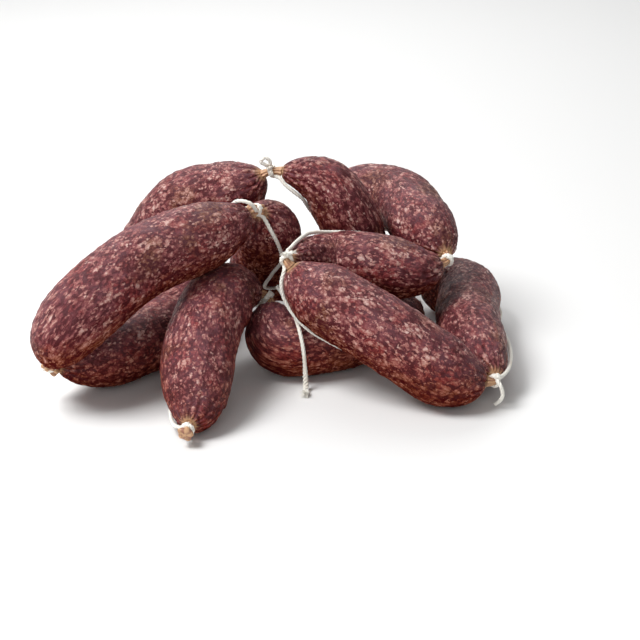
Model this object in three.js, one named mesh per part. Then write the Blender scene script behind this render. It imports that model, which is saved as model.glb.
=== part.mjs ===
// A string of eleven dry-cured sausage links, left in a pile as it was laid down.
// Millimetres, +Z up. The origin is on the resting surface, under the middle of the pile.
import * as THREE from 'three';

// Driving sizes
const TWINE = 2.2;             // thickness of the butcher's twine
const NECK_RADIUS = 2.6;       // twisted casing where a link starts
const PINCH_RADIUS = 1.8;      // the same casing under the twine
const NECK_REACH = 6;          // from a tie to the place where a link starts to swell
const CLEARANCE = 0.3;         // air between pieces that touch
const DOME = 0.58;             // how the ends of most links are domed, from 0, square, to 1, pointed
const DENT_DEPTH = 0.5;        // shallow hollows that drying leaves in the casing
const DENT_SPACING = 13;       // distance over which they come and go
const DENT_RHYTHM = [3.1, 2.7, 3.4];   // how fast they come and go along X, Y and Z
const DENT_START = [1.3, 0.4, 2.1];    // and where they start
const SETTLE = 1.2;            // casing this close to the surface is pressed flat on it
const STRAND_LIFT = 0.9;       // air between a link and the twine that runs along it
const FLARE = 1.5;             // a cut end of casing is this much wider than the neck
const END_TIE = 0.4;           // how far along a cut end its twine sits
const TAIL_KNOT = 2.1;         // half the thickness of the knot at the end of the loose tail

// How finely the pieces are cut
const LINK_SIDES = 14;
const LINK_RINGS = 20;
const NECK_SIDES = 8;
const NECK_RINGS = 5;
const TWINE_SIDES = 6;
const STRAND_RINGS = 17;
const LOOP_STEPS = 10;
const TAIL_SIDES = 8;
const TAIL_RINGS = 30;
const KNOT_ROWS = 6;
const LINE_STEPS = 600;        // how finely the middle line of a link is measured
const CROWDING = 0.6;          // rings crowd this much towards both ends
const START_SIDE = [0.3, 0.5, 0.81];   // where the first corner of a section points

// Middle of the pile's footprint in the lay below
const MIDDLE = [1.8, 23.4];

// The ties between the links, in order along the string. The first and the last are its free ends.
const TIES = [
  [-43, -88, 8],
  [-5, 20, 38],
  [79, 64, 13],
  [-5, 65, 95],
  [-66, 98, 9],
  [-118, -35, 19],
  [-11, 22, 87],
  [80, 104, 12],
  [113, -40, 13],
  [3, -10, 70],
  [93, 30, 54],
  [28, 134, 46],
];

// Each link hangs between two ties. Its shoulders are where its ends turn into its body, its bow is how far
// the middle stands off the line between them, and its tapers are how long its two ends are.
// The twine runs along it on one side, which may turn from the first tie to the second.
const LINKS = [
  { shoulders: [[-40, -71, 12], [-26.5, 7, 43.5]], bow: [-5.5, -1.5, 4.2], radius: 19, tapers: [46, 38],
    twine: [[-0.8, 0.3, -0.3], [0.5, 0.4, -0.6]] },
  { shoulders: [[0, 1, 20], [56, 29, 18]], bow: [-3, -10, -1], radius: 18, tapers: [36, 46],
    domes: [0.46, 0.58], twine: [[0.1, 0.9, -0.3], [-0.8, 0.4, -0.5]] },
  { shoulders: [[47, 71, 41], [23, 61, 89]], bow: [4, -5, 0], radius: 17, tapers: [44, 50],
    domes: [0.75, 0.65], twine: [[0.3, 1, 0.1], [-0.8, -0.2, -0.5]] },
  { shoulders: [[-25.5, 71, 80.5], [-83, 104, 16]], bow: [-3, 0, 18], radius: 19, tapers: [34, 38],
    twine: [[0.1, 1, 0.1], [0.2, 0.9, 0.1]] },
  { shoulders: [[-46, 67, 18], [-98, -23, 18]], bow: [8, -5, 0], radius: 18, tapers: [36, 44],
    twine: [[-1, 0.2, 0], [-0.7, 0.7, 0]] },
  { shoulders: [[-104, -46, 46], [-28, 10, 80]], bow: [-5, -1, 6.5], radius: 19, tapers: [46, 46],
    twine: [[-0.4, 0.9, -0.1], [-0.1, 0.9, 0.4]] },
  { shoulders: [[-6, 44, 64], [33, 106, 20]], bow: [-23.5, 3, -10], radius: 18, tapers: [32, 42],
    twine: [[0.25, -0.95, 0], [0.1, -0.9, 0.3]] },
  { shoulders: [[106, 78, 18], [104, 5, 18]], bow: [-1, 0, 0], radius: 18, tapers: [28, 52],
    domes: [0.45, 0.58], twine: [[0.8, 0.3, -0.5], [1, 0, 0.1]] },
  { shoulders: [[90, -40, 17], [18, -14, 55]], bow: [2, -4, 0], radius: 19, tapers: [34, 36],
    twine: [[0, 0.6, -0.7], [-0.7, -0.1, -0.69]] },
  { shoulders: [[24, 29, 54], [72, 22, 51]], bow: [0, 0, 2], radius: 17, tapers: [66, 36],
    domes: [0.85, 0.58], twine: [[0, 0.3, 0.9], [0, 0.95, 0.3]] },
  { shoulders: [[79, 64, 63], [45, 116, 64]], bow: [6, 6, 4], radius: 18, tapers: [40, 38],
    twine: [[-0.3, -0.4, -0.8], [0.2, -0.3, -0.9]] },
];

// The loose tail of twine: off the second tie, over the second link and down to the surface
const TAIL = [
  [-1, 17, 44], [1, 13, 42.5], [3, 8, 41.5], [5, 2, 41], [7, -4, 40], [9, -9.5, 37], [11, -14.5, 32.5],
  [12.5, -18, 27], [13.5, -19.8, 21], [14, -20, 15], [14.3, -19.8, 9], [14.5, -20.6, 4.5],
  [14.6, -22.6, 2], [14.6, -25, 1.3],
];

const SAUSAGE = { color: 0x5c2f2e, roughness: 0.5, metalness: 0 };
const CASING = { color: 0xc79d72, roughness: 0.6, metalness: 0 };
const COTTON = { color: 0xe9e3d6, roughness: 0.9, metalness: 0 };

const vector = (numbers) => new THREE.Vector3(...numbers);

// Number with leading zero, for names that sort
const two = (number) => String(number).padStart(2, '0');

// A piece of the string with its own material
function piece(name, geometry, finish) {
  const mesh = new THREE.Mesh(geometry, new THREE.MeshStandardMaterial(finish));
  mesh.name = name;
  return mesh;
}

// Direction square to a tangent that lies nearest to the wanted one
function squareTo(tangent, wanted) {
  return wanted.clone().addScaledVector(tangent, -wanted.dot(tangent)).normalize();
}

// Closed solid round a row of places, each with a centre and a radius, with flat ends.
// The section is carried along without twist. A shape function may move each corner.
function sweep(centres, radii, sides, shape = (corner) => corner) {
  const last = centres.length - 1;
  const tangentAt = (row) => {
    const behind = centres[Math.max(row - 1, 0)];
    return centres[Math.min(row + 1, last)].clone().sub(behind).normalize();
  };
  const corners = [];
  let across = vector(START_SIDE);
  centres.forEach((centre, row) => {
    const tangent = tangentAt(row);
    across = squareTo(tangent, across);
    const upright = tangent.clone().cross(across);
    for (let side = 0; side < sides; side += 1) {
      const angle = (2 * Math.PI * side) / sides;
      const outward = across.clone().multiplyScalar(Math.cos(angle));
      outward.addScaledVector(upright, Math.sin(angle));
      corners.push(shape(centre.clone().addScaledVector(outward, radii[row]), outward));
    }
  });
  const faces = [];
  for (let row = 0; row < last; row += 1) {
    for (let side = 0; side < sides; side += 1) {
      const here = row * sides + side;
      const beside = row * sides + ((side + 1) % sides);
      faces.push(here, beside, beside + sides, here, beside + sides, here + sides);
    }
  }
  const start = corners.push(centres[0].clone()) - 1;
  const end = corners.push(centres[last].clone()) - 1;
  for (let side = 0; side < sides; side += 1) {
    const next = (side + 1) % sides;
    faces.push(start, next, side, end, last * sides + side, last * sides + next);
  }
  const geometry = new THREE.BufferGeometry();
  const numbers = corners.flatMap((corner) => corner.toArray());
  geometry.setAttribute('position', new THREE.Float32BufferAttribute(numbers, 3));
  geometry.setIndex(faces);
  geometry.computeVertexNormals();
  return geometry;
}

// Steps from 0 to 1 that are closer together at both ends
function easedSteps(count) {
  return Array.from({ length: count + 1 }, (unused, step) => {
    const even = step / count;
    return even - (CROWDING * Math.sin(2 * Math.PI * even)) / (2 * Math.PI);
  });
}

// Middle line of a link from tie to tie
function middleLine(index) {
  const { shoulders, bow } = LINKS[index];
  const [first, second] = shoulders.map(vector);
  const belly = first.clone().add(second).multiplyScalar(0.5).add(vector(bow));
  const line = new THREE.CatmullRomCurve3(
    [vector(TIES[index]), first, belly, second, vector(TIES[index + 1])], false, 'centripetal');
  line.arcLengthDivisions = LINE_STEPS;
  return line;
}

// Radius of a link at a distance from its first tie
function radiusAt(index, along, length) {
  const { radius, tapers, domes = [DOME, DOME] } = LINKS[index];
  const swell = (fromTie, end) => {
    const part = THREE.MathUtils.clamp((fromTie - NECK_REACH) / (tapers[end] - NECK_REACH), 0, 1);
    return NECK_RADIUS + (radius - NECK_RADIUS) * Math.sin((Math.PI / 2) * part) ** domes[end];
  };
  return Math.min(swell(along, 0), swell(length - along, 1));
}

// Depth of the hollows that drying leaves, from 0 to 1, by place
function dentAt(place) {
  const wave = (value, axis) => Math.sin((value / DENT_SPACING) * DENT_RHYTHM[axis] + DENT_START[axis]);
  const [alongX, alongY, alongZ] = place.toArray().map(wave);
  return 0.5 + 0.5 * alongX * alongY * alongZ;
}

// A dent goes in, and what would touch the surface below lies flat on it
function dryAndSettle(corner, outward) {
  corner.addScaledVector(outward, -DENT_DEPTH * dentAt(corner));
  if (corner.z < SETTLE) corner.z = 0;
  return corner;
}

function makeLink(index) {
  const line = middleLine(index);
  const length = line.getLength();
  const places = easedSteps(LINK_RINGS).map((step) => NECK_REACH + step * (length - 2 * NECK_REACH));
  const centres = places.map((place) => line.getPointAt(place / length));
  const radii = places.map((place) => radiusAt(index, place, length));
  return piece(`link_${two(index + 1)}`, sweep(centres, radii, LINK_SIDES, dryAndSettle), SAUSAGE);
}

// Where a link starts, seen from one of its ties
function linkStart(index, tie) {
  const line = middleLine(index);
  const share = NECK_REACH / line.getLength();
  return line.getPointAt(tie === index ? share : 1 - share);
}

// Twisted casing between two links, drawn in under the twine
function neckLine(tie) {
  const before = linkStart(tie - 1, tie);
  const after = linkStart(tie, tie);
  return new THREE.QuadraticBezierCurve3(before, vector(TIES[tie]), after);
}

function makeNeck(tie) {
  const line = neckLine(tie);
  const inset = (2 * CLEARANCE) / line.getLength();
  const rings = Array.from({ length: NECK_RINGS + 1 }, (unused, ring) => ring / NECK_RINGS);
  const steps = rings.map((ring) => inset + (1 - 2 * inset) * ring);
  const centres = steps.map((step) => line.getPointAt(step));
  const radii = steps.map((step) => NECK_RADIUS - (NECK_RADIUS - PINCH_RADIUS) * Math.sin(Math.PI * step));
  return piece(`casing_neck_${two(tie)}`, sweep(centres, radii, NECK_SIDES), CASING);
}

// Cut casing at a free end of the string, which flares where it was cut
function endLine(tie) {
  const index = Math.min(tie, LINKS.length - 1);
  const root = linkStart(index, tie);
  const outward = vector(TIES[tie]).sub(root).normalize();
  const length = NECK_REACH + TWINE;
  const inner = root.clone().addScaledVector(outward, CLEARANCE);
  return new THREE.LineCurve3(inner, root.clone().addScaledVector(outward, length));
}

function makeEnd(tie) {
  const line = endLine(tie);
  const steps = [0, 0.3, 0.5, 0.75, 1];
  const radii = [NECK_RADIUS, PINCH_RADIUS, PINCH_RADIUS, NECK_RADIUS, NECK_RADIUS * FLARE];
  const centres = steps.map((step) => line.getPointAt(step));
  return piece(`casing_end_${two(tie)}`, sweep(centres, radii, NECK_SIDES), CASING);
}

// Twine tied round the casing
function makeTie(tie) {
  const free = tie === 0 || tie === TIES.length - 1;
  const line = free ? endLine(tie) : neckLine(tie);
  const place = free ? END_TIE : 0.5;
  const reach = PINCH_RADIUS + STRAND_LIFT + TWINE / 2;
  const loop = new THREE.TorusGeometry(reach, TWINE / 2, TWINE_SIDES, LOOP_STEPS);
  const mesh = piece(`twine_tie_${two(tie)}`, loop, COTTON);
  mesh.position.copy(line.getPointAt(place));
  mesh.quaternion.setFromUnitVectors(new THREE.Vector3(0, 0, 1), line.getTangentAt(place));
  return mesh;
}

// Twine that runs along a link from one tie to the next, just off the casing
function makeStrand(index) {
  const line = middleLine(index);
  const length = line.getLength();
  const [first, second] = LINKS[index].twine.map(vector);
  const reach = NECK_REACH - 1;
  const centres = easedSteps(STRAND_RINGS).map((step) => {
    const place = reach + step * (length - 2 * reach);
    const side = squareTo(line.getTangentAt(place / length), first.clone().lerp(second, step));
    const offset = radiusAt(index, place, length) + STRAND_LIFT + TWINE / 2;
    return line.getPointAt(place / length).addScaledVector(side, offset);
  });
  const radii = centres.map(() => TWINE / 2);
  return piece(`twine_strand_${two(index + 1)}`, sweep(centres, radii, TWINE_SIDES), COTTON);
}

// The loose tail and the small knot at its end
function makeTail() {
  const line = new THREE.CatmullRomCurve3(TAIL.map(vector), false, 'centripetal');
  const centres = line.getSpacedPoints(TAIL_RINGS);
  return piece('twine_tail', sweep(centres, centres.map(() => TWINE / 2), TAIL_SIDES), COTTON);
}

function makeTailKnot() {
  const end = vector(TAIL[TAIL.length - 1]);
  const outward = end.clone().sub(vector(TAIL[TAIL.length - 2])).setZ(0).normalize();
  const knot = new THREE.SphereGeometry(TAIL_KNOT, TAIL_SIDES, KNOT_ROWS);
  const mesh = piece('twine_tail_knot', knot, COTTON);
  mesh.position.copy(end.addScaledVector(outward, TAIL_KNOT + 2 * CLEARANCE)).setZ(TAIL_KNOT);
  return mesh;
}

const string = new THREE.Group();
string.position.set(-MIDDLE[0], -MIDDLE[1], 0);
LINKS.forEach((unused, index) => string.add(makeLink(index), makeStrand(index)));
TIES.forEach((unused, tie) => {
  const free = tie === 0 || tie === TIES.length - 1;
  string.add(free ? makeEnd(tie) : makeNeck(tie), makeTie(tie));
});
string.add(makeTail(), makeTailKnot());

export default string;
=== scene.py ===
"""Dresses a pile of eleven dry-cured sausage links, still joined in one string.

Metres, +Z up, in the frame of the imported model. The lay of the string is the same as in the model.
"""

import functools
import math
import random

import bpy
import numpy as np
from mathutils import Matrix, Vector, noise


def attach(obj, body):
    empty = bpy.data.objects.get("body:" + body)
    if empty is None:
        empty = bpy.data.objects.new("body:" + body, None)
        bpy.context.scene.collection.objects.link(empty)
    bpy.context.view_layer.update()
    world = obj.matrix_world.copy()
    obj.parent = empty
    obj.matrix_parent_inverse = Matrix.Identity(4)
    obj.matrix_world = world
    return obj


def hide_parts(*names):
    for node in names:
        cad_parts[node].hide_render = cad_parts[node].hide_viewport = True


bl_info = {
    "name": "String of cured sausage links",
    "version": (1, 0, 0),
    "blender": (4, 5, 0),
    "location": "View3D > Sidebar > Sausages",
    "description": "Cured links with fat flecks, gathered casing and twisted twine on a pale floor",
    "category": "Object",
}

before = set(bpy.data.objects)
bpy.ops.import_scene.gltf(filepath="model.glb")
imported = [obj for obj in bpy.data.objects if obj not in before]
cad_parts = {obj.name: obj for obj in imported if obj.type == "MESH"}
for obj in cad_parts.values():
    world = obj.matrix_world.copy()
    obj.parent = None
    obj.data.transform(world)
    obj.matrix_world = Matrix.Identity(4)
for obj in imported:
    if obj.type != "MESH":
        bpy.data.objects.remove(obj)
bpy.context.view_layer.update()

BODY = "root"
MM = 0.001

# Driving sizes of the string, in millimetres, as in the model
TWINE = 2.2
NECK_RADIUS = 2.6
PINCH_RADIUS = 1.8
NECK_REACH = 6.0
SETTLE = 1.2
TAIL_KNOT = 2.1
DENT_DEPTH = 0.5
DENT_SPACING = 13.0

# Pace and start of the dents along each axis
DENT_RHYTHM = (3.1, 2.7, 3.4)
DENT_START = (1.3, 0.4, 2.1)

# How blunt a link's ends are, how far a cut end of casing opens, how far along it the twine sits,
# and the direction that the sides of every tube are carried from
DOME = 0.58
FLARE = 1.5
END_TIE = 0.4
START_SIDE = (0.3, 0.5, 0.81)

# Middle of the pile's footprint in the lay below
MIDDLE = (1.8, 23.4, 0.0)

# The ties between the links, in order along the string, in millimetres
TIES = [
    (-43, -88, 8),
    (-5, 20, 38),
    (79, 64, 13),
    (-5, 65, 95),
    (-66, 98, 9),
    (-118, -35, 19),
    (-11, 22, 87),
    (80, 104, 12),
    (113, -40, 13),
    (3, -10, 70),
    (93, 30, 54),
    (28, 134, 46),
]
LAST_TIE = len(TIES) - 1

# Each link: its two shoulders, how far its middle bows off the line between them, its radius,
# the lengths of its two tapers, the side that its twine runs on at either end, its two domes,
# and over what reach a sharp bend in it is rounded
LINKS = [
    dict(shoulders=[(-40, -71, 12), (-26.5, 7, 43.5)], bow=(-5.5, -1.5, 4.2),
         radius=19, tapers=(46, 38), twine=[(-0.8, 0.3, -0.3), (0.5, 0.4, -0.6)]),
    dict(shoulders=[(0, 1, 20), (56, 29, 18)], bow=(-3, -10, -1), radius=18, tapers=(36, 46),
         twine=[(0.1, 0.9, -0.3), (-0.8, 0.4, -0.5)], domes=(0.46, 0.58)),
    dict(shoulders=[(47, 71, 41), (23, 61, 89)], bow=(4, -5, 0), radius=17, tapers=(44, 50),
         twine=[(0.3, 1, 0.1), (-0.8, -0.2, -0.5)], domes=(0.75, 0.65)),
    dict(shoulders=[(-25.5, 71, 80.5), (-83, 104, 16)], bow=(-3, 0, 18), radius=19, tapers=(34, 38),
         twine=[(0.1, 1, 0.1), (0.2, 0.9, 0.1)]),
    dict(shoulders=[(-46, 67, 18), (-98, -23, 18)], bow=(8, -5, 0), radius=18, tapers=(36, 44),
         twine=[(-1, 0.2, 0), (-0.7, 0.7, 0)]),
    dict(shoulders=[(-104, -46, 46), (-28, 10, 80)], bow=(-5, -1, 6.5), radius=19, tapers=(46, 46),
         twine=[(-0.4, 0.9, -0.1), (-0.1, 0.9, 0.4)]),
    dict(shoulders=[(-6, 44, 64), (33, 106, 20)], bow=(-23.5, 3, -10), radius=18, tapers=(32, 42),
         twine=[(0.25, -0.95, 0), (0.1, -0.9, 0.3)]),
    dict(shoulders=[(106, 78, 18), (104, 5, 18)], bow=(-1, 0, 0), radius=18, tapers=(28, 52),
         twine=[(0.8, 0.3, -0.5), (1, 0, 0.1)], domes=(0.45, 0.58)),
    dict(shoulders=[(90, -40, 17), (18, -14, 55)], bow=(2, -4, 0), radius=19, tapers=(34, 36),
         twine=[(0, 0.6, -0.7), (-0.7, -0.1, -0.69)]),
    dict(shoulders=[(24, 29, 54), (72, 22, 51)], bow=(0, 0, 2), radius=17, tapers=(66, 36),
         twine=[(0, 0.3, 0.9), (0, 0.95, 0.3)], domes=(0.85, 0.58), softened=9),
    dict(shoulders=[(79, 64, 63), (45, 116, 64)], bow=(6, 6, 4), radius=18, tapers=(40, 38),
         twine=[(-0.3, -0.4, -0.8), (0.2, -0.3, -0.9)]),
]

# The loose tail of twine, from the second tie over the second link to the floor, in millimetres
TAIL = [
    (-1, 17, 44), (1, 13, 42.5), (3, 8, 41.5), (5, 2, 41), (7, -4, 40), (9, -9.5, 37),
    (11, -14.5, 32.5), (12.5, -18, 27), (13.5, -19.8, 21), (14, -20, 15), (14.3, -19.8, 9),
    (14.5, -20.6, 4.5), (14.6, -22.6, 2), (14.6, -25, 1.3),
]

# A knot sits on this side of its tie, as far as the tie lets it
KNOT_SIDE = (0.2, -0.6, 0.75)

# Ties whose knot was made on the hidden side
BACK_KNOTS = (0, 1, 5, 6, 10)

# Ties whose twine was cut off close to the knot
TRIMMED = (0, 2, 5, 7, 10)

# Ties where the casing bulges in two lobes beside the twine, and how far, in millimetres
LOBES = {5: 2.4, 6: 1.6}

# Number of pleats in the casing, and how deep they are as a share of its radius
NECK_PLEATS = (8, 0.13)
END_PLEATS = (5, 0.09)

# Loose loops and ends of twine at a tie, by the number of the tie, in millimetres
LOOPS = {
    3: [(-5, 65, 95), (-7.5, 62.5, 98), (-10.6, 62, 100.2), (-8.2, 62, 102.6), (-5.4, 62.5, 100),
        (-6.4, 63.5, 96.4)],
    6: [(-11.5, 18, 86), (-14.3, 14, 91.4), (-17.7, 14, 92.8), (-21, 15, 92.7), (-24.2, 20, 89.3),
        (-26.6, 26, 84)],
    8: [(112, -43, 15.8), (114, -45, 13), (115, -45, 8), (113.5, -43.5, 4), (111.5, -42.5, 2)],
}

# Air between the floor and twine that lies on it, in millimetres
FLOOR_GAP = 0.02

# How finely curves and pieces are cut. PLY_STEP is in millimetres.
LINK_SIDES = 128
LINK_RINGS = 210
LINK_CROWDING = 0.85
CURVE_STEPS = 1600
SHORT_STEPS = 60
SOFT_STEPS = 240
RUN_STEPS = 40
TAIL_STEPS = 120
TURN_STEPS = 40
PLY_SIDES = 7
PLY_STEP = 0.5
LEAST_RINGS = 12
LEAST_STEPS = 200
STEPS_EACH = 6
NECK_SIDES = 54
NECK_RINGS = 26
NECK_STEPS = 400
FIBRE_SIDES = 5
FIBRE_RINGS = 14

# Rounding of a bend fades out within this many times its reach from either tie
SOFT_ENDS = 3

# How fast the octaves of the relief fade, and how much finer each is
OCTAVE_FALL = 0.8
OCTAVE_STEP = 2.1

# Folds where a link is gathered: how far from its middle line and over what spacing they wander,
# and the radii between which they deepen and fade, in millimetres
FOLD_ARM = 9.0
FOLD_SPACING = 11.0
FOLD_DEEPENS = (NECK_RADIUS, 4.5)
FOLD_FADES = (9.0, 17.0)

# How strongly the folds wander, and how narrow they are
FOLD_WANDER = 4.0
FOLD_SHARPNESS = 0.55

# Spacing of a link's lumps and wrinkles, and where they reach their full height, in millimetres
LUMP_SPACING = 7.0
SMALL_LUMP_SPACING = 2.6
LUMPS_START = 20.0
WRINKLE_SPACING = 4.2
WRINKLES_START = 16.0

# Height of the small lumps beside the others, and how the wrinkles are drawn out along a link
SMALL_LUMP_SHARE = 0.55
WRINKLE_STRETCH = 0.28
WRINKLE_RUN = (1.0, 0.7, 0.4)
WRINKLE_STEP = 0.05

# Radii where the tan of a link's ends starts to fade, and where it is gone at the least, and how
# much further its streaks go, in millimetres
TAN_FADES = 3.0
TAN_ENDS = 4.2
TAN_STREAKS = 3.4

# Depth of the groove that the twine presses into a link, and where its sides lie, in millimetres
GROOVE_DEPTH = 0.45
GROOVE_EDGES = (1.2, 3.4)

# The point of the twine's run where its groove starts, from either end
GROOVE_STARTS = 4

# Radius of a ply as a share of the twine's thickness, radius of the turns round a tie, and
# thickness of the twine in a tie and in a knot, in millimetres
PLY_SHARE = 0.27
WOUND_RADIUS = PINCH_RADIUS + 0.42 * TWINE
TIED_TWINE = 0.9 * TWINE
KNOTTED_TWINE = 0.8 * TWINE

# Lay of the twine where it is tied and where it is knotted, in millimetres
TIED_LAY = 5
KNOTTED_LAY = 4

# How far in from the neck the twine's run along a link starts, in millimetres
RUN_LEAD = 1

# Frayed ends of the tail and of cut twine: length in millimetres and number of fibres, and the
# seed of the tail's fibres
TAIL_FRAY = (5.0, 44)
TAIL_SEED = 7
CUT_FRAY = (2.6, 10)

# Radius of a fibre in millimetres, and how far the fibres fan out
FIBRE_RADIUS = 0.2
FIBRE_SPREAD = 0.6

# How far the twine opens along the tail and along a cut end, as shares of its length and its twist
TAIL_OPENS = ([0, 0.78, 0.9, 1], [1, 1, 1.9, 2.1])
CUT_OPENS = ([0, 0.7, 1], [1, 1, 1.5])

# The flecks of a link are a little longer along it, and each link starts elsewhere in the pattern
GRAIN_STRETCH = 0.74
GRAIN_STEP = 0.37

# How fine the patterns of the meat are, in features to the metre
COARSE_MINCE = 470.0
FINE_MINCE = 880.0
GRIT = 1400.0
WANDER = 620.0
STREAKS = 130.0
RED_PATCHES = 62.0
BROWN_PATCHES = 41.0
BLOOM_PATCHES = 58.0

# How far the outline of a grain wanders, in millimetres
WANDER_REACH = 2.7

# How soft the coarse and the fine grains are at their edges, and how much darker the fine ones are
COARSE_FALL = 0.60
FINE_FALL = 0.48
FINE_LESS = 0.01

# How much the grit and the streaks lighten or darken the mince
GRIT_SHARE = 0.75
STREAK_SHARE = 0.80

# Heights between which painted shade darkens the meat towards the floor, in millimetres
SHADE_HEIGHTS = (50, 14)

# Gloss of the upper sides of the meat, of which the undersides have less
MEAT_GLOSS = 0.28

# Tint of the palest flecks of fat
PALEST = (1, 0.9, 0.86)

# Half the width of the floor, in metres
FLOOR_HALF = 6.0

# Places and widths of the studio lights, in metres, and the spot they are turned to
PILE_CENTRE = (0, 0, 0.03)
LIGHTS = {
    "key": dict(spot=(-0.56, -0.26, 0.94), size=0.5),
    "fill": dict(spot=(-0.10, -1.1, 0.45), size=0.8),
    "rim": dict(spot=(-0.20, 0.80, 0.85), size=0.8),
    "far": dict(spot=(0, 2.4, 1.3), size=2.2, target=(0, 2.4, 0)),
}

# The camera, in the frame of the lay, in millimetres and degrees
CAMERA_TARGET = (22.0, 0.0, 31.4)
CAMERA_DISTANCE = 850.0
CAMERA_ELEVATION = 22.0
CAMERA_LENS = 90.2


class SausageLinkSettings(bpy.types.PropertyGroup):
    """Relief of the links."""

    lump: bpy.props.FloatProperty(
        name="Lumps", description="Height of the lumps that lean and fat leave in the dried casing",
        default=0.42 * MM, min=0, unit="LENGTH")
    wrinkle: bpy.props.FloatProperty(
        name="Wrinkles", description="Depth of the fine wrinkles that run along a link",
        default=0.24 * MM, min=0, unit="LENGTH")
    pucker: bpy.props.FloatProperty(
        name="Puckers", description="Depth of the folds where the casing is gathered at a tie",
        default=1.0 * MM, min=0, unit="LENGTH")
    pucker_count: bpy.props.IntProperty(
        name="Folds", description="Number of gathered folds round an end", default=13, min=3)


class SausageColourSettings(bpy.types.PropertyGroup):
    """Colours of the meat, the casing and the twine."""

    # Also used as painted shade in the pleats of the casing
    lean: bpy.props.FloatVectorProperty(
        name="Lean", description="Cured lean meat under the casing",
        default=(0.205, 0.044, 0.051), subtype="COLOR", min=0, max=1)
    # Also used as painted shade in the folds and wrinkle valleys of the links
    dark: bpy.props.FloatVectorProperty(
        name="Dark lean", description="Darkest specks of dried lean meat",
        default=(0.078, 0.0095, 0.0130), subtype="COLOR", min=0, max=1)
    ruby: bpy.props.FloatVectorProperty(
        name="Ruby", description="Redder stretches of the meat",
        default=(0.270, 0.038, 0.038), subtype="COLOR", min=0, max=1)
    # Also used for the painted shade on the undersides of the links
    amber: bpy.props.FloatVectorProperty(
        name="Amber", description="Brown stretches where fat has stained the casing",
        default=(0.21, 0.078, 0.040), subtype="COLOR", min=0, max=1)
    fat: bpy.props.FloatVectorProperty(
        name="Fat", description="Flecks of fat",
        default=(0.53, 0.290, 0.250), subtype="COLOR", min=0, max=1)
    # Painted shade: a warm tint multiplied onto the undersides and onto the low sides near the floor
    stain_and_shade: bpy.props.FloatVectorProperty(
        name="Stain", description="Warm darkening of the meat low down in the pile",
        default=(0.84, 0.50, 0.35), subtype="COLOR", min=0, max=1)
    # Partly real bloom, partly a painted sheen: it is laid only on the upper sides
    bloom_and_sheen: bpy.props.FloatVectorProperty(
        name="Bloom", description="Thin violet-grey bloom on the upper sides",
        default=(0.210, 0.090, 0.118), subtype="COLOR", min=0, max=1)
    casing: bpy.props.FloatVectorProperty(
        name="Casing", description="Dry gathered casing",
        default=(0.62, 0.37, 0.20), subtype="COLOR", min=0, max=1)
    cotton: bpy.props.FloatVectorProperty(
        name="Cotton", description="Twisted cotton twine",
        default=(0.90, 0.875, 0.80), subtype="COLOR", min=0, max=1)
    floor: bpy.props.FloatVectorProperty(
        name="Floor", description="Plain pale floor",
        default=(0.86, 0.86, 0.855), subtype="COLOR", min=0, max=1)


class SausageTwineSettings(bpy.types.PropertyGroup):
    """Make of the twine."""

    plies: bpy.props.IntProperty(
        name="Plies", description="Yarns twisted together", default=3, min=2, max=4)
    lay: bpy.props.FloatProperty(
        name="Lay", description="Length of one turn of the twist",
        default=6.5 * MM, min=MM, unit="LENGTH")
    turns: bpy.props.FloatProperty(
        name="Turns at a tie", description="How often the twine goes round the casing",
        default=2.2, min=1)
    cut_end: bpy.props.FloatProperty(
        name="Cut end", description="Length of the short ends at a knot",
        default=5.0 * MM, min=0, unit="LENGTH")


class SausageLightSettings(bpy.types.PropertyGroup):
    """Strength of the studio lights."""

    key: bpy.props.FloatProperty(
        name="Key", description="Large light above and to the left",
        default=12.6, min=0, unit="POWER")
    fill: bpy.props.FloatProperty(
        name="Fill", description="Large light in front", default=2.0, min=0, unit="POWER")
    rim: bpy.props.FloatProperty(
        name="Rim", description="Light from behind", default=4.2, min=0, unit="POWER")
    far: bpy.props.FloatProperty(
        name="Far", description="Light on the floor behind", default=22.0, min=0, unit="POWER")
    sky: bpy.props.FloatProperty(
        name="Sky", description="Even light all round", default=0.28, min=0)


def settings(group):
    """One of the registered groups of settings of this scene."""
    return getattr(bpy.context.scene, group)


def place(point):
    """A point of the lay, in millimetres, as metres in the frame of the model."""
    return (np.asarray(point, float) - np.asarray(MIDDLE)) * MM


def unit(vectors):
    """Vectors scaled to a length of one."""
    vectors = np.asarray(vectors, float)
    return vectors / np.linalg.norm(vectors, axis=-1, keepdims=True)


def smooth(values, low, high):
    """A soft step from 0 below low to 1 above high."""
    share = np.clip((np.asarray(values, float) - low) / (high - low), 0, 1)
    return share * share * (3 - 2 * share)


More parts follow.
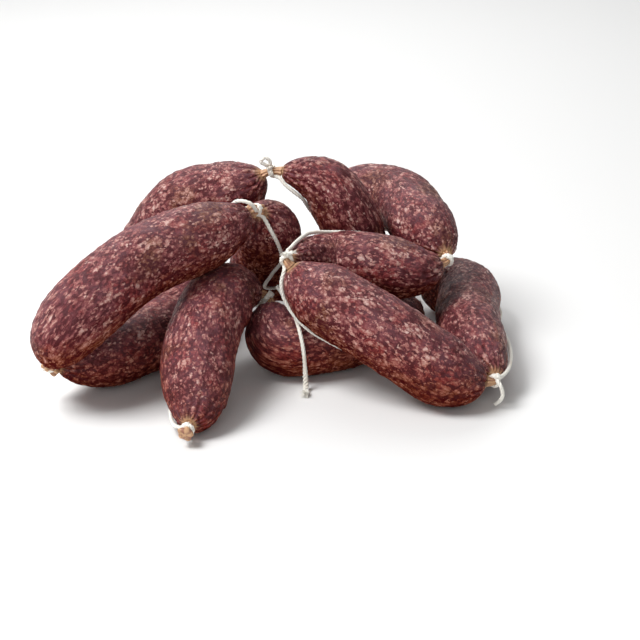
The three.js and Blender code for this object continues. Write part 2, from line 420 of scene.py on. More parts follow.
class Line:
    """A smooth curve through points, read by the distance along it."""

    def __init__(self, points, steps=CURVE_STEPS):
        self.points = self.through([np.asarray(point, float) for point in points], steps)
        gaps = np.linalg.norm(np.diff(self.points, axis=0), axis=1)
        self.marks = np.concatenate([[0], np.cumsum(gaps)])
        self.length = self.marks[-1]

    @staticmethod
    def through(points, steps):
        """Points of a centripetal Catmull-Rom curve."""
        before = 2 * points[0] - points[1]
        after = 2 * points[-1] - points[-2]
        knots = [before, *points, after]
        curve = []
        for share in np.linspace(0, len(points) - 1, steps):
            index = min(int(share), len(points) - 2)
            p0, p1, p2, p3 = knots[index:index + 4]
            pairs = ((p0, p1), (p1, p2), (p2, p3))
            d0, d1, d2 = (math.sqrt(np.linalg.norm(end - start)) for start, end in pairs)
            leave = ((p1 - p0) / d0 - (p2 - p0) / (d0 + d1) + (p2 - p1) / d1) * d1
            arrive = ((p2 - p1) / d1 - (p3 - p1) / (d1 + d2) + (p3 - p2) / d2) * d1
            t = share - index
            square = -3 * p1 + 3 * p2 - 2 * leave - arrive
            cube = 2 * p1 - 2 * p2 + leave + arrive
            curve.append(p1 + leave * t + square * t * t + cube * t ** 3)
        return np.array(curve)

    def at(self, distances):
        """Points at distances along the curve."""
        axes = [np.interp(distances, self.marks, self.points[:, axis]) for axis in range(3)]
        return np.stack(axes, -1)

    def heading(self, distances):
        """Directions of the curve at distances along it."""
        reach = self.length / CURVE_STEPS
        ahead = self.at(np.minimum(np.asarray(distances) + reach, self.length))
        behind = self.at(np.maximum(np.asarray(distances) - reach, 0))
        return unit(ahead - behind)


def carried(centres):
    """Two directions square to a row of centres at each of them, carried along without twist."""
    headings = unit(np.gradient(centres, axis=0))
    across = np.asarray(START_SIDE, float)
    sides = []
    for heading in headings:
        across = unit(across - heading * (across @ heading))
        sides.append(across)
    sides = np.array(sides)
    return sides, np.cross(headings, sides)


def ring_angles(count):
    """Angles spaced evenly round a ring."""
    return np.linspace(0, 2 * math.pi, count, endpoint=False)


def ring_points(centres, radii, sides):
    """Points round a row of centres, and which way each lies from its centre."""
    across, upright = carried(centres)
    angles = ring_angles(sides)
    radii = np.asarray(radii, float)
    if radii.ndim == 1:
        radii = radii[:, None]
    cosines = np.cos(angles)[None, :, None]
    sines = np.sin(angles)[None, :, None]
    outward = across[:, None] * cosines + upright[:, None] * sines
    return centres[:, None] + outward * radii[..., None], outward


def grid_faces(rings, sides):
    """Four-sided faces between rings of points, and fans that close both ends."""
    here = np.arange((rings - 1) * sides)
    beside = here // sides * sides + (here + 1) % sides
    walls = np.stack([here, beside, beside + sides, here + sides], 1).tolist()
    first = rings * sides
    last = first + 1
    end = (rings - 1) * sides
    fans = []
    for side in range(sides):
        after = (side + 1) % sides
        fans.append([first, after, side])
        fans.append([last, end + side, end + after])
    return walls + fans


def closed_tube(points):
    """Corners and faces of a closed tube made of rings of points."""
    rings, sides = points.shape[:2]
    corners = np.concatenate([points.reshape(-1, 3), points[:1].mean(1), points[-1:].mean(1)])
    return corners, grid_faces(rings, sides)


def above_floor(corners):
    """Corners of twine that would go into the floor, laid on it."""
    corners[:, 2] = np.maximum(corners[:, 2], FLOOR_GAP * MM)
    return corners


def joined(parts):
    """Several bodies of corners and faces as one."""
    corners, faces, start = [], [], 0
    for part_corners, part_faces in parts:
        corners.append(part_corners)
        faces += [[corner + start for corner in face] for face in part_faces]
        start += len(part_corners)
    return np.concatenate(corners), faces


def new_piece(name, corners, faces, material, nodes, values=None):
    """A smooth mesh piece that rides on the body and stands for nodes of the model."""
    mesh = bpy.data.meshes.new(name)
    mesh.from_pydata(np.asarray(corners).tolist(), [], faces)
    mesh.polygons.foreach_set("use_smooth", [True] * len(mesh.polygons))
    for label, numbers in (values or {}).items():
        numbers = np.asarray(numbers, np.float32)
        kind, field = ("FLOAT", "value") if numbers.ndim == 1 else ("FLOAT_VECTOR", "vector")
        layer = mesh.attributes.new(label, kind, "POINT")
        layer.data.foreach_set(field, numbers.ravel())
    mesh.materials.append(material)
    mesh.update()
    piece = bpy.data.objects.new(name, mesh)
    bpy.context.scene.collection.objects.link(piece)
    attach(piece, BODY)
    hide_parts(*nodes)
    return piece


@functools.lru_cache(maxsize=None)
def link_line(index):
    """Middle line of a link from tie to tie."""
    link = LINKS[index]
    first, second = (np.array(shoulder, float) for shoulder in link["shoulders"])
    belly = (first + second) / 2 + np.array(link["bow"], float)
    line = Line([place(point) for point in (TIES[index], first, belly, second, TIES[index + 1])])
    return softened(line, link["softened"] * MM) if "softened" in link else line


def softened(line, reach):
    """The same curve with its sharp bends rounded, and its ends kept."""
    distances = np.linspace(0, line.length, SOFT_STEPS)
    points = line.at(distances)
    weights = np.exp(-((distances[:, None] - distances[None]) / reach) ** 2)
    mean = weights @ points / weights.sum(1, keepdims=True)
    share = smooth(np.minimum(distances, line.length - distances), 0, SOFT_ENDS * reach)[:, None]
    return Line(list(points + (mean - points) * share))


def link_radius(index, distances, length):
    """Radius of a link at distances from its first tie."""
    link = LINKS[index]
    domes = link.get("domes", (DOME, DOME))
    radius, neck, reach = link["radius"] * MM, NECK_RADIUS * MM, NECK_REACH * MM
    ends = []
    for end, from_tie in enumerate((distances, length - distances)):
        share = np.clip((from_tie - reach) / (link["tapers"][end] * MM - reach), 0, 1)
        ends.append(neck + (radius - neck) * np.sin(math.pi / 2 * share) ** domes[end])
    return np.minimum(*ends)


def dents(points):
    """Depth of the hollows that drying leaves, from 0 to 1, at points in metres."""
    lay = points / MM + np.asarray(MIDDLE)
    waves = np.sin(lay / DENT_SPACING * np.array(DENT_RHYTHM) + np.array(DENT_START))
    return 0.5 + 0.5 * waves.prod(-1)


def rough(points, spacing, octaves):
    """Fractal noise of about -1 to 1 at points, with features of that spacing."""
    scaled = (points.reshape(-1, 3) / spacing).tolist()
    values = [noise.fractal(point, OCTAVE_FALL, OCTAVE_STEP, octaves) for point in scaled]
    return np.array(values).reshape(points.shape[:-1])


def eased(count, crowding=0.6):
    """Steps from 0 to 1 that are closer together at both ends."""
    even = np.linspace(0, 1, count)
    return even - crowding * np.sin(2 * math.pi * even) / (2 * math.pi)


@functools.lru_cache(maxsize=None)
def twine_path(index):
    """Where the twine runs along a link, from one tie to the next."""
    line = link_line(index)
    first, second = (np.array(side, float) for side in LINKS[index]["twine"])
    reach = (NECK_REACH - RUN_LEAD) * MM
    shares = eased(RUN_STEPS)
    distances = reach + shares * (line.length - 2 * reach)
    headings = line.heading(distances)
    wanted = first + (second - first) * shares[:, None]
    sides = unit(wanted - headings * (wanted * headings).sum(1)[:, None])
    radii = link_radius(index, distances, line.length)
    return line.at(distances) + sides * (radii + TWINE / 2 * MM)[:, None]


@functools.lru_cache(maxsize=None)
def tie_line(tie):
    """Short line through a tie: the neck between two links, or the cut end beyond the last one."""
    def start(index):
        line = link_line(index)
        distance = NECK_REACH * MM if tie == index else line.length - NECK_REACH * MM
        return line.at(np.array([distance]))[0]

    centre = place(TIES[tie])
    if 0 < tie < LAST_TIE:
        before, after = start(tie - 1), start(tie)
        shares = np.linspace(0, 1, SHORT_STEPS)[:, None]
        bend = (1 - shares) ** 2 * before + 2 * shares * (1 - shares) * centre + shares ** 2 * after
        return Line(list(bend), NECK_STEPS)
    root = start(min(tie, LAST_TIE - 1))
    outward = unit(centre - root)
    return Line([root, root + outward * (NECK_REACH + TWINE) * MM], SHORT_STEPS)


def tie_place(tie):
    """Centre and direction of the twine that is wound round a tie."""
    line = tie_line(tie)
    share = 0.5 if 0 < tie < LAST_TIE else END_TIE
    distance = np.array([share * line.length])
    return line.at(distance)[0], line.heading(distance)[0]


def plied(centres, thickness, spread=None, pitch=None):
    """Corners and faces of plies twisted round a row of centres, cut about PLY_STEP apart."""
    twine = settings("sausage_twine")
    line = Line(list(centres), max(len(centres) * STEPS_EACH, LEAST_STEPS))
    count = max(int(line.length / (PLY_STEP * MM)), LEAST_RINGS)
    distances = np.linspace(0, line.length, count)
    middle = line.at(distances)
    across, upright = carried(middle)
    pitch = pitch or twine.lay
    ply = thickness * PLY_SHARE
    arm = np.full(count, thickness / 2 - ply)
    if spread is not None:
        arm = arm * np.interp(distances / line.length, *spread)
    parts = []
    for number in range(twine.plies):
        turn = 2 * math.pi * (distances / pitch + number / twine.plies)
        offset = across * (np.cos(turn) * arm)[:, None] + upright * (np.sin(turn) * arm)[:, None]
        points, _ = ring_points(middle + offset, np.full(count, ply), PLY_SIDES)
        parts.append(closed_tube(points))
    return parts


def add_node(tree, kind, **values):
    """A shader node with some of its settings and inputs filled in."""
    node = tree.nodes.new(kind)
    for key, value in values.items():
        if key in node.inputs:
            node.inputs[key].default_value = value
        else:
            setattr(node, key, value)
    return node


def coordinates(tree):
    """Place on the object, in metres."""
    return add_node(tree, "ShaderNodeTexCoord").outputs["Object"]


def noise_field(tree, place_on, scale, detail, roughness=0.5):
    """A noise value from 0 to 1, with that many features to the metre."""
    node = add_node(tree, "ShaderNodeTexNoise", Scale=scale, Detail=detail, Roughness=roughness)
    tree.links.new(place_on, node.inputs["Vector"])
    return node.outputs["Fac"]


def shaped(tree, value, low, high, top=1.0):
    """A value stretched so that low becomes 0 and high becomes top, with soft ends."""
    node = add_node(tree, "ShaderNodeMapRange", interpolation_type="SMOOTHSTEP")
    node.inputs["From Min"].default_value = low
    node.inputs["From Max"].default_value = high
    node.inputs["To Max"].default_value = top
    tree.links.new(value, node.inputs["Value"])
    return node.outputs["Result"]


def combine(tree, operation, first, second):
    """Arithmetic on two values, of which the second may be a number."""
    node = add_node(tree, "ShaderNodeMath", operation=operation)
    tree.links.new(first, node.inputs[0])
    if isinstance(second, (int, float)):
        node.inputs[1].default_value = second
    else:
        tree.links.new(second, node.inputs[1])
    return node.outputs[0]


def painted(tree, factor, below, above, blend="MIX"):
    """A colour laid over another where the factor says. Either may be a fixed colour."""
    node = add_node(tree, "ShaderNodeMix", data_type="RGBA", blend_type=blend)
    tree.links.new(factor, node.inputs["Factor"])
    for socket, colour in (("A", below), ("B", above)):
        entry = next(item for item in node.inputs if item.name == socket and item.type == "RGBA")
        if isinstance(colour, bpy.types.NodeSocket):
            tree.links.new(colour, entry)
        else:
            entry.default_value = (*colour, 1.0)
    return next(item for item in node.outputs if item.type == "RGBA")


def new_material(name):
    """An empty material, its nodes and its shader."""
    material = bpy.data.materials.new(name)
    material.use_nodes = True
    tree = material.node_tree
    return material, tree, tree.nodes["Principled BSDF"]


def raised(tree, shader, height, distance, strength):
    """Bump on a shader from a height of 0 to 1."""
    bump = add_node(tree, "ShaderNodeBump", Strength=strength, Distance=distance)
    tree.links.new(height, bump.inputs["Height"])
    tree.links.new(bump.outputs["Normal"], shader.inputs["Normal"])


def mince(tree, place_on, scale, sharpness):
    """Minced grains: a random value for each cell, highest in its middle, from about 0 to 1."""
    cells = add_node(tree, "ShaderNodeTexVoronoi", Scale=scale, Randomness=1.0)
    tree.links.new(place_on, cells.inputs["Vector"])
    split = add_node(tree, "ShaderNodeSeparateColor")
    tree.links.new(cells.outputs["Color"], split.inputs["Color"])
    fall = combine(tree, "MULTIPLY", cells.outputs["Distance"], sharpness)
    return combine(tree, "SUBTRACT", split.outputs["Red"], fall)


def ramp(tree, value, stops):
    """Colours at places from 0 to 1 along a value."""
    node = add_node(tree, "ShaderNodeValToRGB")
    elements = node.color_ramp.elements
    while len(elements) < len(stops):
        elements.new(0.5)
    for element, (spot, colour) in zip(elements, stops):
        element.position = spot
        element.color = (*colour, 1.0)
    tree.links.new(value, node.inputs["Fac"])
    return node.outputs["Color"]


def blended(first, second, share):
    """A fixed colour that lies that share of the way from one to another."""
    return tuple(a + (b - a) * share for a, b in zip(first, second))


def stored(tree, label):
    """A number that each corner of the mesh holds."""
    return add_node(tree, "ShaderNodeAttribute", attribute_name=label).outputs["Fac"]


def upright_part(tree, vector):
    """The part of a vector that points up."""
    node = add_node(tree, "ShaderNodeSeparateXYZ")
    tree.links.new(vector, node.inputs[0])
    return node.outputs["Z"]


def meat_grain(tree, plain):
    """The mince of the meat: its grains, its grit, and the value that its colours follow."""
    grain = add_node(tree, "ShaderNodeAttribute", attribute_name="grain").outputs["Vector"]
    wander = add_node(tree, "ShaderNodeTexNoise", Scale=WANDER, Detail=3.0, Roughness=0.6)
    tree.links.new(grain, wander.inputs["Vector"])
    shift = add_node(tree, "ShaderNodeVectorMath", operation="MULTIPLY_ADD")
    tree.links.new(wander.outputs["Color"], shift.inputs[0])
    shift.inputs[1].default_value = [WANDER_REACH * MM] * 3
    tree.links.new(grain, shift.inputs[2])
    warped = shift.outputs[0]

    coarse = mince(tree, warped, COARSE_MINCE, COARSE_FALL)
    fine = combine(tree, "SUBTRACT", mince(tree, warped, FINE_MINCE, FINE_FALL), FINE_LESS)
    grains = combine(tree, "MAXIMUM", coarse, fine)
    grit = combine(tree, "SUBTRACT", noise_field(tree, plain, GRIT, 3.0, 0.7), 0.5)
    streaks = combine(tree, "SUBTRACT", noise_field(tree, grain, STREAKS, 3.0, 0.6), 0.5)
    value = combine(tree, "ADD", grains, combine(tree, "MULTIPLY", grit, GRIT_SHARE))
    value = combine(tree, "ADD", value, combine(tree, "MULTIPLY", streaks, STREAK_SHARE))
    return grains, grit, value


def meat_colour(tree, plain, value):
    """Burgundy meat with redder and browner stretches, and the brown of those stretches alone."""
    colours = settings("sausage_colours")
    rose = blended(colours.ruby, colours.fat, 0.45)
    burgundy = ramp(tree, value, [
        (0.16, colours.dark), (0.34, blended(colours.dark, colours.lean, 0.5)), (0.47, colours.lean),
        (0.59, blended(colours.lean, rose, 0.6)), (0.68, rose), (0.79, colours.fat),
        (0.95, blended(colours.fat, PALEST, 0.30))])
    reddish = ramp(tree, value, [
        (0.16, colours.dark), (0.34, blended(colours.dark, colours.ruby, 0.45)),
        (0.50, colours.ruby), (0.68, blended(colours.ruby, colours.fat, 0.35)), (0.84, colours.fat)])
    brownish = ramp(tree, value, [
        (0.16, colours.dark), (0.36, blended(colours.dark, colours.amber, 0.4)),
        (0.56, colours.amber), (0.76, blended(colours.amber, colours.fat, 0.5)), (0.90, colours.fat)])
    red_patches = shaped(tree, noise_field(tree, plain, RED_PATCHES, 3.0, 0.6), 0.50, 0.62, 0.90)
    brown_patches = shaped(tree, noise_field(tree, plain, BROWN_PATCHES, 3.0), 0.54, 0.68, 0.85)
    meat = painted(tree, red_patches, burgundy, reddish)
    return painted(tree, brown_patches, meat, brownish), brownish


def shaded_and_bloomed(tree, plain, value, facing_up, meat, brownish):
    """The meat with warm painted shade below and low down, and a thin bloom on its upper sides that
    is partly a painted sheen.
    """
    colours = settings("sausage_colours")
    # Painted shade: undersides turn brown, and they and the low sides near the floor are darkened by
    # a warm tint
    below = shaped(tree, facing_up, 0.10, -0.65, 0.75)
    high, low = SHADE_HEIGHTS
    near_floor = shaped(tree, upright_part(tree, plain), high * MM, low * MM, 0.8)
    low_side = combine(tree, "MULTIPLY", near_floor, shaped(tree, facing_up, 0.75, 0.15))
    painted_shade = combine(tree, "MAXIMUM", below, low_side)
    meat = painted(tree, below, meat, brownish)
    meat = painted(tree, painted_shade, meat, colours.stain_and_shade, "MULTIPLY")
    # Painted sheen on real bloom: the dusting is laid only where the surface faces up
    sky_side = shaped(tree, facing_up, -0.10, 0.90)
    dusting = shaped(tree, noise_field(tree, plain, BLOOM_PATCHES, 4.0, 0.66), 0.40, 0.66, 0.36)
    between_flecks = shaped(tree, value, 0.72, 0.36)
    bloom_and_sheen = combine(tree, "MULTIPLY", dusting, sky_side)
    bloom_and_sheen = combine(tree, "MULTIPLY", bloom_and_sheen, between_flecks)
    return painted(tree, bloom_and_sheen, meat, colours.bloom_and_sheen)


def meat_material():
    """Cured meat under a thin casing: minced lean and fat, bloom with a painted sheen, painted shade
    below and in the folds, and tan gathered ends.
    """
    colours = settings("sausage_colours")
    material, tree, shader = new_material("cured_meat")
    plain = coordinates(tree)
    facing_up = upright_part(tree, add_node(tree, "ShaderNodeNewGeometry").outputs["Normal"])
    grains, grit, value = meat_grain(tree, plain)
    meat, brownish = meat_colour(tree, plain, value)
    meat = shaded_and_bloomed(tree, plain, value, facing_up, meat, brownish)
    meat = painted(tree, stored(tree, "gathered"), meat, colours.casing)
    # Painted shade in the folds and wrinkle valleys, in the darkest lean colour
    meat = painted(tree, stored(tree, "crease"), meat, colours.dark)
    tree.links.new(meat, shader.inputs["Base Color"])

    dryness = combine(tree, "MULTIPLY", noise_field(tree, plain, 300.0, 4.0, 0.7), 0.62)
    tree.links.new(combine(tree, "ADD", dryness, 0.10), shader.inputs["Roughness"])
    shader.inputs["Specular IOR Level"].default_value = MEAT_GLOSS
    shine = shaped(tree, facing_up, -0.5, 0.6, MEAT_GLOSS)
    tree.links.new(shine, shader.inputs["Specular IOR Level"])
    relief = combine(tree, "ADD", combine(tree, "MULTIPLY", grains, 0.8), grit)
    raised(tree, shader, relief, 0.7 * MM, 0.85)
    return material


def casing_material():
    """Dry gathered casing at the ties, tan, with painted shade in its pleats."""
    colours = settings("sausage_colours")
    material, tree, shader = new_material("dry_casing")
    plain = coordinates(tree)
    # Real random amber stains on the casing
    stain_and_shade = shaped(tree, noise_field(tree, plain, 420.0, 3.0), 0.42, 0.70, 0.7)
    colour = painted(tree, stain_and_shade, colours.casing, colours.amber)
    # Painted shade in the pleat valleys
    colour = painted(tree, stored(tree, "crease"), colour, colours.lean)
    tree.links.new(colour, shader.inputs["Base Color"])
    shader.inputs["Roughness"].default_value = 0.5
    raised(tree, shader, noise_field(tree, plain, 1500.0, 3.0), 0.2 * MM, 0.6)
    return material


def cotton_material():
    """Matte twisted cotton with fibres along each ply."""
    colours = settings("sausage_colours")
    material, tree, shader = new_material("cotton_twine")
    plain = coordinates(tree)
    soil = shaped(tree, noise_field(tree, plain, 120.0, 3.0), 0.48, 0.78, 0.25)
    colour = painted(tree, soil, colours.cotton, colours.casing)
    tree.links.new(colour, shader.inputs["Base Color"])
    shader.inputs["Roughness"].default_value = 0.9
    shader.inputs["Sheen Weight"].default_value = 0.25
    shader.inputs["Sheen Roughness"].default_value = 0.6
    raised(tree, shader, noise_field(tree, plain, 2600.0, 3.0, 0.7), 0.2 * MM, 0.8)
    return material


def shared_material(name, make):
    """A material that several operators use, made once."""
    return bpy.data.materials.get(name) or make()


def link_relief(index, points, outward, centres, distances, length):
    """How far each point of a link moves out, how much painted shade its fold and wrinkle valleys
    get, and how tan it is.
    """
    relief = settings("sausage_links")
    nearest = np.minimum(distances, length - distances)[:, None]
    radius = link_radius(index, distances, length)[:, None]
    around = ring_angles(points.shape[1])[None]
    wander = rough(centres[:, None] + outward * FOLD_ARM * MM, FOLD_SPACING * MM, 2)
    fold = relief.pucker_count * around + FOLD_WANDER * wander + index
    valley = 1 - np.abs(np.cos(fold / 2)) ** FOLD_SHARPNESS
    deepened = smooth(radius, *(edge * MM for edge in FOLD_DEEPENS))
    drawn_in = deepened * (1 - smooth(radius, *(edge * MM for edge in FOLD_FADES)))
    folds = -relief.pucker * valley * drawn_in * (0.85 + 0.5 * wander)

    ridges = np.abs(rough(stretched(index, outward, radius, distances), WRINKLE_SPACING * MM, 3))
    at_tie = 1 - smooth(nearest, NECK_REACH * MM, WRINKLES_START * MM)
    wrinkles = -relief.wrinkle * (1 - smooth(ridges, 0.0, 0.22)) * (1 - 0.6 * at_tie)
    small = rough(points, SMALL_LUMP_SPACING * MM, 2)
    lumps = relief.lump * (rough(points, LUMP_SPACING * MM, 3) + SMALL_LUMP_SHARE * small)
    body = smooth(nearest, NECK_REACH * MM, LUMPS_START * MM)
    out = -DENT_DEPTH * MM * dents(points) + lumps * (0.25 + 0.75 * body) + wrinkles + folds

    # Painted shade, deepest in the folds at the gathered ends and lighter in the wrinkle valleys
    crease = np.clip(valley * drawn_in * 1.2 - 0.25, 0, 0.85)
    crease = np.maximum(crease, 0.35 * (1 - smooth(ridges, 0.0, 0.10)) * body)
    streak = np.clip(0.5 + 0.9 * wander + 0.35 * np.cos(2 * fold), 0, 1)
    tan_ends = (TAN_ENDS + TAN_STREAKS * streak) * MM
    gathered = 0.85 * (1 - smooth(radius, TAN_FADES * MM, tan_ends))
    return out, crease, gathered


def stretched(index, outward, radius, distances):
    """Places for the wrinkles of a link, squeezed along it so that they run lengthwise."""
    along = (distances[:, None, None] * WRINKLE_STRETCH) * np.array(WRINKLE_RUN)
    return outward * radius[..., None] + along + index * WRINKLE_STEP


def press_flat(points):
    """What would touch the floor lies flat on it."""
    low = points[..., 2] < SETTLE * MM
    points[..., 2] = np.where(low, np.maximum(2 * points[..., 2] - SETTLE * MM, 0), points[..., 2])
    return points


def groove(points, outward, index):
    """The twine sinks a little into the casing along its run."""
    path = twine_path(index)[GROOVE_STARTS:-GROOVE_STARTS]
    flat = points.reshape(-1, 3)
    nearest = np.full(len(flat), 1.0)
    for spot in path[:-1] + np.diff(path, axis=0) / 2:
        nearest = np.minimum(nearest, np.linalg.norm(flat - spot, axis=1))
    nearest = nearest.reshape(points.shape[:-1])
    inner, outer = GROOVE_EDGES
    depth = GROOVE_DEPTH * MM * (1 - smooth(nearest, inner * MM, outer * MM))
    return points - outward * depth[..., None]


def make_link(index, material):
    """One link, with all its relief."""
    line = link_line(index)
    reach = NECK_REACH * MM
    distances = reach + eased(LINK_RINGS, LINK_CROWDING) * (line.length - 2 * reach)
    centres = line.at(distances)
    radii = link_radius(index, distances, line.length)
    angles = ring_angles(LINK_SIDES)
    points, outward = ring_points(centres, radii, LINK_SIDES)
    slope = np.gradient(radii, distances)[:, None, None]
    facing = unit(outward - line.heading(distances)[:, None] * slope)
    out, crease, gathered = link_relief(index, points, outward, centres, distances, line.length)
    points = groove(points + facing * out[..., None], outward, index)
    points = press_flat(points)
    corners, faces = closed_tube(points)
    rolled = np.stack([np.broadcast_to(distances[:, None] * GRAIN_STRETCH, out.shape),
                       radii[:, None] * np.cos(angles), radii[:, None] * np.sin(angles)], -1)
    rolled = rolled.reshape(-1, 3) + index * GRAIN_STEP
    values = {
        "crease": np.concatenate([crease.ravel(), [0, 0]]),
        "gathered": np.concatenate([gathered.ravel(), [1, 1]]),
        "grain": np.concatenate([rolled, rolled[:1], rolled[-1:]]),
    }
    name = f"cured_link_{index + 1:02d}"
    return new_piece(name, corners, faces, material, [f"link_{index + 1:02d}"], values)


def pleated(line, distances, radii, folds, depth):
    """Corners and faces of gathered casing along a line, with how deep each corner lies in a pleat,
    which sets its painted shade.
    """
    centres = line.at(distances)
    angles = ring_angles(NECK_SIDES)
    wave = np.cos(folds * angles)[None] + 0.4 * np.cos((folds - 2) * angles + 1.0)[None]
    share = distances / line.length
    twist = wave * (1 + 0.15 * np.sin(9 * share))[:, None]
    grown = np.asarray(radii)[:, None] * (1 + depth * twist)
    points, _ = ring_points(centres, grown, NECK_SIDES)
    corners, faces = closed_tube(press_flat(points))
    crease = np.concatenate([np.clip(-twist, 0, 1).ravel() * 0.6, [0, 0]])
    return corners, faces, {"crease": crease}


def twine_piece(name, parts, node):
    """A piece of twine that stands for a node of the model, laid on the floor where it reaches it."""
    corners, faces = joined(parts)
    cotton = shared_material("cotton_twine", cotton_material)
    return new_piece(name, above_floor(corners), faces, cotton, [node])


class SAUSAGE_OT_tail(bpy.types.Operator):
    """Lays the loose tail of twine over a link, down to its knot on the floor"""

    bl_idname = "sausage.tail"
    bl_label = "Loose tail"

    def execute(self, context):
        path = Line([place(point) for point in TAIL])
        distances = np.linspace(0, path.length, TAIL_STEPS)
        parts = plied(path.at(distances), TWINE * MM, TAIL_OPENS)
        tail = twine_piece("loose_tail", parts, "twine_tail")
        knot = make_tail_knot(path)
        return {"FINISHED"}


def make_tail_knot(path):
    """An overhand knot with a short frayed end, lying on the floor."""
    end = path.points[-1]
    outward = unit((end - path.at(np.array([path.length - 2 * MM]))[0]) * np.array([1, 1, 0]))
    side = np.cross(outward, [0, 0, 1.0])
    centre = end + outward * TAIL_KNOT * MM
    centre[2] = TAIL_KNOT * MM
    parts = overhand(centre, side, outward, np.array([0, 0, 1.0]))
    draw = random.Random(TAIL_SEED)
    length, count = TAIL_FRAY
    parts += frayed(centre, side * 0.2 + outward, length * MM, draw, count)
    return twine_piece("tail_knot", parts, "twine_tail_knot")


def overhand(centre, side, along, up):
    """A small overhand knot of twine round a centre."""
    turns = np.linspace(0, 2 * math.pi, SHORT_STEPS)
    loop = (centre + np.outer(np.sin(turns) + 2 * np.sin(2 * turns), side) * 0.42 * MM
            + np.outer(np.cos(turns) - 2 * np.cos(2 * turns), along) * 0.40 * MM
            + np.outer(-np.sin(3 * turns), up) * 0.55 * MM)
    return plied(loop, KNOTTED_TWINE * MM, pitch=KNOTTED_LAY * MM)


def frayed(root, heading, length, draw, count):
    """Loose fibres that fan out from a cut end of twine."""
    heading = unit(heading)
    sides, uprights = carried(np.array([root, root + heading * MM]))
    parts = []
    for _ in range(count):
        fan = sides[0] * draw.uniform(-FIBRE_SPREAD, FIBRE_SPREAD)
        fan = fan + uprights[0] * draw.uniform(-FIBRE_SPREAD, FIBRE_SPREAD)
        tip = root + (heading + fan) * length * draw.uniform(0.5, 1)
        middle = (root + tip) / 2 + fan * draw.uniform(0, 0.8) * MM
        parts.append(fibre([root, middle, tip]))
    return parts


def cut_end(root, heading, length, draw):
    """A short cut end of twine that droops and frays at its tip."""
    heading = unit(heading)
    droop = np.array([0, 0, -0.22 * length])
    points = [root, root + heading * length * 0.5 + droop * 0.2, root + heading * length + droop]
    parts = plied(Line(points, SHORT_STEPS).points, TIED_TWINE * MM, CUT_OPENS)
    fray, count = CUT_FRAY
    return parts + frayed(points[-1], points[-1] - points[-2], fray * MM, draw, count)


def fibre(points):
    """A fine fibre through points, thinner at its tip."""
    line = Line(points, SHORT_STEPS)
    distances = np.linspace(0, line.length, FIBRE_RINGS)
    radii = FIBRE_RADIUS * MM * (1 - 0.5 * distances / line.length)
    rings, _ = ring_points(line.at(distances), radii, FIBRE_SIDES)
    return closed_tube(rings)


class SAUSAGE_OT_links(bpy.types.Operator):
    """Makes the eleven cured links"""

    bl_idname = "sausage.links"
    bl_label = "Links"

    def execute(self, context):
        meat = shared_material("cured_meat", meat_material)
        for index in range(len(LINKS)):
            make_link(index, meat)
        return {"FINISHED"}


class SAUSAGE_OT_casing(bpy.types.Operator):
    """Gathers the casing between the links and at both ends of the string"""

    bl_idname = "sausage.casing"
    bl_label = "Gathered casing"

    def execute(self, context):
        casing = shared_material("dry_casing", casing_material)
        for tie in range(len(TIES)):
            line = tie_line(tie)
            shares = np.linspace(0, 1, NECK_RINGS)
            if 0 < tie < LAST_TIE:
                waist = np.sin(math.pi * shares) ** 0.6
                lobes = LOBES.get(tie, 0) * np.abs(np.sin(2 * math.pi * shares))
                radii = (NECK_RADIUS - (NECK_RADIUS - PINCH_RADIUS) * waist + lobes) * MM
                name = f"casing_neck_{tie:02d}"
                pleats = NECK_PLEATS
            else:
                radii = np.interp(shares, [0, 0.3, 0.5, 0.68, 0.85, 0.95, 1], [
                    NECK_RADIUS, PINCH_RADIUS, PINCH_RADIUS, NECK_RADIUS * 1.3, NECK_RADIUS * FLARE,
                    NECK_RADIUS * 1.25, NECK_RADIUS * 0.6]) * MM
                name = f"casing_end_{tie:02d}"
                pleats = END_PLEATS
            corners, faces, values = pleated(line, shares * line.length, radii, *pleats)
            new_piece(f"gathered_{name}", corners, faces, casing, [name], values)
        return {"FINISHED"}


class SAUSAGE_OT_ties(bpy.types.Operator):
    """Winds and knots the twine round each tie"""

    bl_idname = "sausage.ties"
    bl_label = "Ties"

    def execute(self, context):
        for tie in range(len(TIES)):
            make_tie(tie)
        return {"FINISHED"}


def make_tie(tie):
    """Wound turns, a knot, and the loose loop or the two cut ends there."""
    twine = settings("sausage_twine")
    centre, heading = tie_place(tie)
    sides, uprights = carried(np.array([centre, centre + heading * MM]))
    across, upright = sides[0], uprights[0]
    turns = np.linspace(0, 2 * math.pi * twine.turns, int(TURN_STEPS * twine.turns))
    climb = (turns / turns[-1] - 0.5) * TWINE * (twine.turns - 1) * 0.8 * MM
    radius = WOUND_RADIUS * MM
    wound = (centre + np.outer(np.cos(turns), across) * radius
             + np.outer(np.sin(turns), upright) * radius + np.outer(climb, heading))
    parts = plied(wound, TIED_TWINE * MM, pitch=TIED_LAY * MM)

    front = KNOT_SIDE - heading * (np.array(KNOT_SIDE) @ heading)
    front = unit(front) * (-1 if tie in BACK_KNOTS else 1)
    beside = np.cross(front, heading)
    knot = centre + front * (radius + 0.5 * TWINE * MM)
    parts += overhand(knot, beside, heading, front)
    if tie in LOOPS:
        parts += plied([place(point) for point in LOOPS[tie]], TWINE * MM)
    elif tie not in TRIMMED:
        draw = random.Random(tie)
        for turn in (-1, 1):
            leave = beside * turn * 0.7 + heading * draw.uniform(-0.4, 0.4)
            leave = leave + front * draw.uniform(0.4, 0.7)
            parts += cut_end(knot, leave, twine.cut_end * draw.uniform(0.6, 1), draw)
    name = f"tie_{tie:02d}"
    twine_piece(f"wound_{name}", parts, f"twine_{name}")


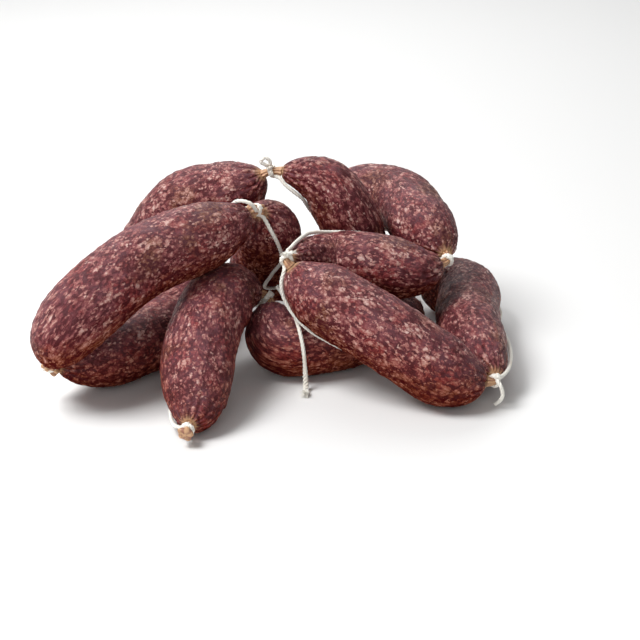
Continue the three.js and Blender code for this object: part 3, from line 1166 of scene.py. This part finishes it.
class SAUSAGE_OT_strands(bpy.types.Operator):
    """Runs the twine along each link from tie to tie"""

    bl_idname = "sausage.strands"
    bl_label = "Twine along the links"

    def execute(self, context):
        for index in range(len(LINKS)):
            path = twine_path(index)
            ends = [self.on_tie(index, path[0]), self.on_tie(index + 1, path[-1])]
            route = np.concatenate([[ends[0]], path[::3], [ends[1]]])
            name = f"twine_strand_{index + 1:02d}"
            twine_piece(f"twisted_{name}", plied(route, TWINE * MM), name)
        return {"FINISHED"}

    def on_tie(self, tie, beside):
        """Point on the wound turns of a tie that is nearest to a point beside it."""
        centre, heading = tie_place(tie)
        away = beside - centre
        away = unit(away - heading * (away @ heading))
        return centre + away * WOUND_RADIUS * MM


class SAUSAGE_OT_stage(bpy.types.Operator):
    """Sets the floor, the soft lights and the camera"""

    bl_idname = "sausage.stage"
    bl_label = "Stage"

    def execute(self, context):
        self.add_floor()
        self.add_lights()
        self.add_camera()
        return {"FINISHED"}

    def add_floor(self):
        colours = settings("sausage_colours")
        material, _, shader = new_material("pale_floor")
        shader.inputs["Base Color"].default_value = (*colours.floor, 1)
        shader.inputs["Roughness"].default_value = 0.7
        half = FLOOR_HALF
        corners = [(-half, -half, 0), (half, -half, 0), (half, half, 0), (-half, half, 0)]
        mesh = bpy.data.meshes.new("floor")
        mesh.from_pydata(corners, [], [(0, 1, 2, 3)])
        mesh.materials.append(material)
        floor = bpy.data.objects.new("floor", mesh)
        bpy.context.scene.collection.objects.link(floor)

    def add_lights(self):
        lights = settings("sausage_lights")
        for name, light in LIGHTS.items():
            self.area(f"{name}_light", getattr(lights, name), **light)
        world = bpy.data.worlds.new("studio")
        world.use_nodes = True
        sky = world.node_tree.nodes["Background"]
        sky.inputs["Color"].default_value = (1, 1, 1, 1)
        sky.inputs["Strength"].default_value = lights.sky
        bpy.context.scene.world = world
        bpy.context.scene.view_settings.view_transform = "Standard"

    def area(self, name, power, spot, size, target=PILE_CENTRE):
        data = bpy.data.lights.new(name, "AREA")
        data.size = size
        data.energy = power
        light = bpy.data.objects.new(name, data)
        light.location = spot
        aim = Vector(target) - Vector(spot)
        light.rotation_euler = aim.to_track_quat("-Z", "Y").to_euler()
        bpy.context.scene.collection.objects.link(light)

    def add_camera(self):
        data = bpy.data.cameras.new("camera")
        data.lens = CAMERA_LENS
        camera = bpy.data.objects.new("camera", data)
        target = Vector(place(CAMERA_TARGET))
        tilt = math.radians(CAMERA_ELEVATION)
        back = Vector((0, -math.cos(tilt), math.sin(tilt)))
        camera.location = target + back * CAMERA_DISTANCE * MM
        camera.rotation_euler = (-back).to_track_quat("-Z", "Y").to_euler()
        bpy.context.scene.collection.objects.link(camera)
        bpy.context.scene.camera = camera


class SAUSAGE_PT_panel(bpy.types.Panel):
    """Sizes, colours and pieces of the string"""

    bl_label = "Sausages"
    bl_idname = "SAUSAGE_PT_panel"
    bl_space_type = "VIEW_3D"
    bl_region_type = "UI"
    bl_category = "Sausages"

    def draw(self, context):
        layout = self.layout
        for group, kind in GROUPS.items():
            box = layout.box()
            for key in kind.__annotations__:
                box.prop(getattr(context.scene, group), key)
        for kind in OPERATORS:
            layout.operator(kind.bl_idname)


GROUPS = {
    "sausage_links": SausageLinkSettings,
    "sausage_colours": SausageColourSettings,
    "sausage_twine": SausageTwineSettings,
    "sausage_lights": SausageLightSettings,
}
OPERATORS = (
    SAUSAGE_OT_stage,
    SAUSAGE_OT_tail,
    SAUSAGE_OT_links,
    SAUSAGE_OT_casing,
    SAUSAGE_OT_ties,
    SAUSAGE_OT_strands,
)


def register():
    for kind in (*GROUPS.values(), *OPERATORS, SAUSAGE_PT_panel):
        bpy.utils.register_class(kind)
    for group, kind in GROUPS.items():
        setattr(bpy.types.Scene, group, bpy.props.PointerProperty(type=kind))


def unregister():
    for group in GROUPS:
        delattr(bpy.types.Scene, group)
    for kind in (SAUSAGE_PT_panel, *reversed(OPERATORS), *reversed(GROUPS.values())):
        bpy.utils.unregister_class(kind)


def main():
    register()
    bpy.ops.sausage.stage()
    bpy.ops.sausage.tail()
    bpy.ops.sausage.links()
    bpy.ops.sausage.casing()
    bpy.ops.sausage.ties()
    bpy.ops.sausage.strands()


if __name__ == "__main__":
    main()
